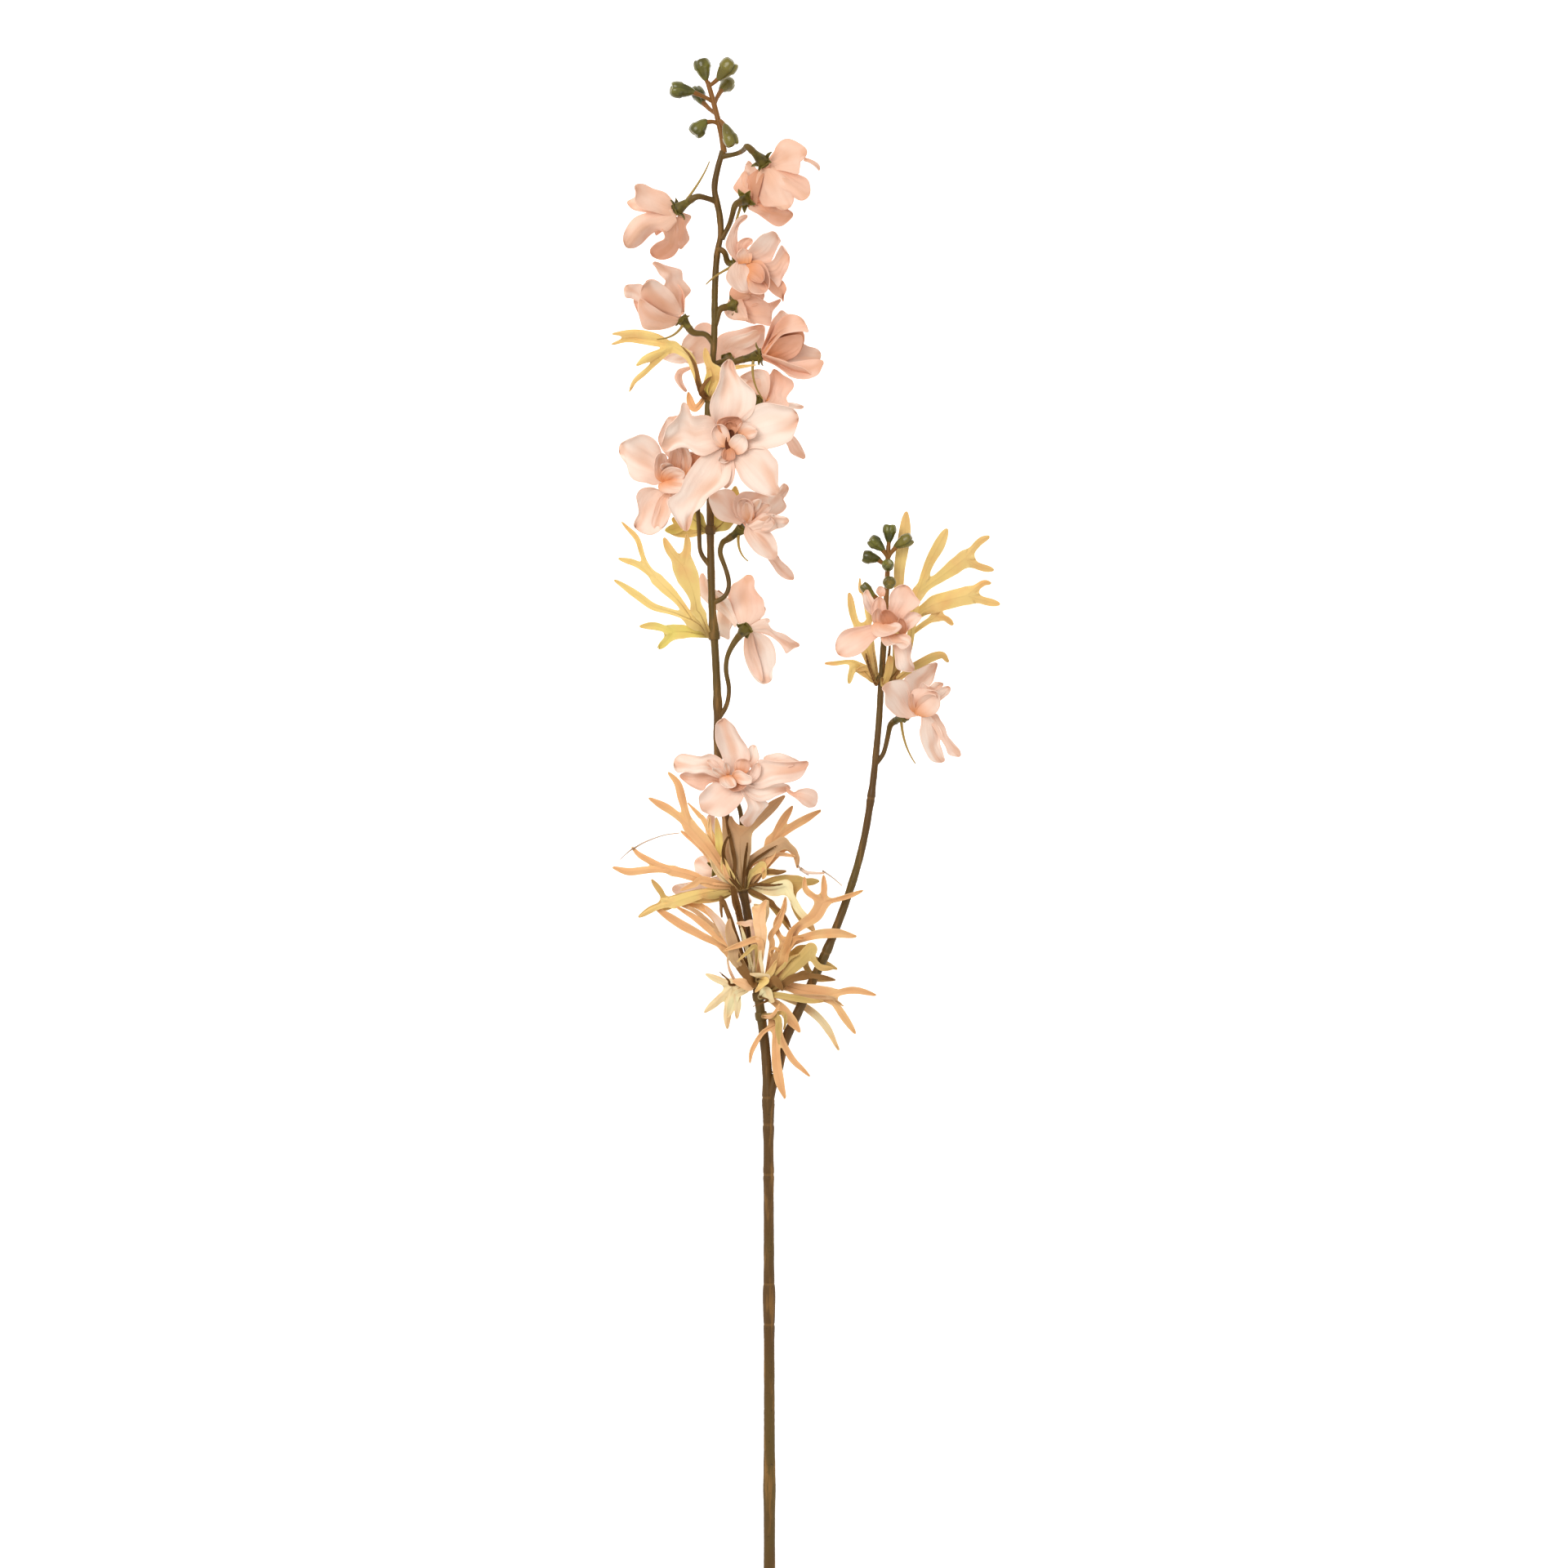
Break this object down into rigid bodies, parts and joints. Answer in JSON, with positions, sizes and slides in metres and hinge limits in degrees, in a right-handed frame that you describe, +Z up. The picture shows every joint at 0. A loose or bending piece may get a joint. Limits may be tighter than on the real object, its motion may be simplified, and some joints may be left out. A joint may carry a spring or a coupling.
{
  "type": "artificial larkspur spray",
  "caption": "Long artificial flower spray lying flat: wiry brown stem with a side branch, blush fabric blooms, green buds and whorls of narrow cut leaves.",
  "frame": {"origin": "middle of the footprint, on the surface the spray lies on", "axes": "+Y along the spray from its cut end towards the tip, +X towards the side branch, +Z up from the surface"},
  "size_m": [0.1915, 0.7872, 0.0624],
  "materials": {
    "stem_brown": "satin, wrapped wire core",
    "bud_green": "glossy moulded",
    "calyx_olive": "satin moulded",
    "petal_blush": "matte woven fabric",
    "leaf_amber": "matte stiffened fabric"
  },
  "bodies": {
    "root": {"main_stem": "stem_brown", "side_stem": "stem_brown", "buds_main": "bud_green", "buds_side": "bud_green", "petals_01": "petal_blush", "petals_02": "petal_blush", "petals_03": "petal_blush", "petals_04": "petal_blush", "petals_05": "petal_blush", "petals_06": "petal_blush", "petals_07": "petal_blush", "petals_08": "petal_blush", "petals_09": "petal_blush", "petals_10": "petal_blush", "petals_11": "petal_blush", "petals_12": "petal_blush", "petals_13": "petal_blush", "petals_14": "petal_blush", "petals_15": "petal_blush", "petals_16": "petal_blush", "petals_17": "petal_blush", "calyx_01": "calyx_olive", "calyx_02": "calyx_olive", "calyx_03": "calyx_olive", "calyx_04": "calyx_olive", "calyx_05": "calyx_olive", "calyx_06": "calyx_olive", "calyx_07": "calyx_olive", "calyx_08": "calyx_olive", "calyx_09": "calyx_olive", "calyx_10": "calyx_olive", "calyx_11": "calyx_olive", "calyx_12": "calyx_olive", "calyx_13": "calyx_olive", "calyx_14": "calyx_olive", "calyx_15": "calyx_olive", "calyx_16": "calyx_olive", "calyx_17": "calyx_olive", "leaves_upper": "leaf_amber", "leaves_crown": "leaf_amber", "leaves_middle": "leaf_amber", "leaves_great": "leaf_amber", "leaves_lower_left": "leaf_amber", "leaves_lower_right": "leaf_amber", "leaves_foot": "leaf_amber", "leaves_side": "leaf_amber"}
  },
  "joints": []
}
